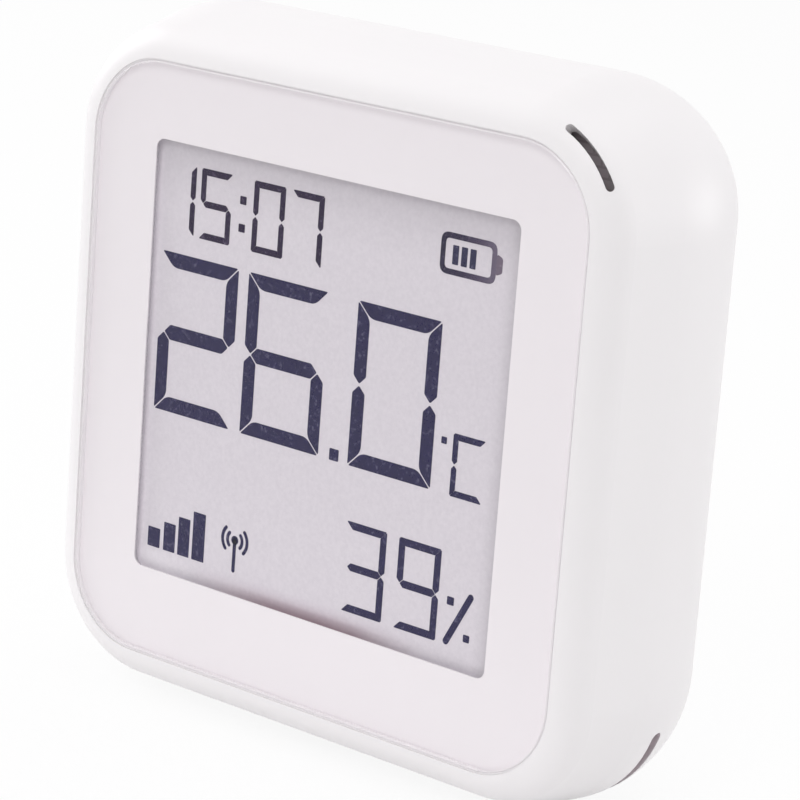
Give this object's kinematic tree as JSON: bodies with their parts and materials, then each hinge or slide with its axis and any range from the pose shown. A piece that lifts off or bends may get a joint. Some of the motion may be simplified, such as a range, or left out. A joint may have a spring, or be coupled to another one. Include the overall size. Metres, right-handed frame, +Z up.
{
  "type": "temperature humidity sensor",
  "caption": "Square wall-hung temperature and humidity sensor with a flat paper-like display behind a clear front panel, corner air slots and a pull-off case over AA cells.",
  "frame": {"origin": "centre of the back cover's flat wall face", "axes": "+Z up, +X to the right as seen from the front, +Y into the wall; the display faces -Y"},
  "size_m": [0.07, 0.026, 0.07],
  "materials": {
    "white_shell": "fine satin moulded white",
    "clear_panel": "polished clear acrylic",
    "mask_print": "white back print",
    "foam": "light grey closed-cell foam",
    "paper_display": "matte paper-like film",
    "display_glass": "polished glass",
    "inner_plastic": "moulded off-white",
    "flex_film": "amber film",
    "connector_plastic": "moulded ivory",
    "board": "white solder mask",
    "chip_black": "moulded black",
    "plated_metal": "nickel plated",
    "ceramic": "fired ceramic",
    "ferrite": "moulded ferrite",
    "cell_sleeve": "plain dark shrink sleeve"
  },
  "bodies": {
    "cover": {"back_cover": "white_shell"},
    "case": {"front_housing": "white_shell", "front_panel": "clear_panel", "panel_mask": "mask_print", "display_gasket": "foam", "display_film": "paper_display", "display_glass": "display_glass", "display_carrier": "inner_plastic", "display_flex": "flex_film", "display_connector": "connector_plastic", "main_board": "board", "radio_chip": "chip_black", "radio_crystal": "plated_metal", "radio_shield": "plated_metal", "chip_antenna": "ceramic", "humidity_sensor": "chip_black", "power_socket": "plated_metal", "socket_tongue": "chip_black", "power_inductor": "ferrite", "voltage_regulator": "chip_black", "capacitors": "ceramic", "reset_switch": "chip_black", "battery_tray": "inner_plastic", "tray_screws": "plated_metal", "upper_contacts": "plated_metal", "lower_contacts": "plated_metal", "battery_1": "cell_sleeve", "battery_2": "cell_sleeve", "battery_3": "cell_sleeve", "battery_4": "cell_sleeve"},
    "button": {"reset_button": "inner_plastic", "switch_plunger": "connector_plastic"}
  },
  "joints": [
    {"name": "case_pull", "type": "slide", "parent": "cover", "child": "case", "axis": [0, -1, 0], "range_m": [0, 0.04]},
    {"name": "reset_press", "type": "slide", "parent": "case", "child": "button", "axis": [0, -1, 0], "range_m": [0, 0.00025], "stiffness_N_per_m": 800, "springref_m": -0.0005}
  ]
}
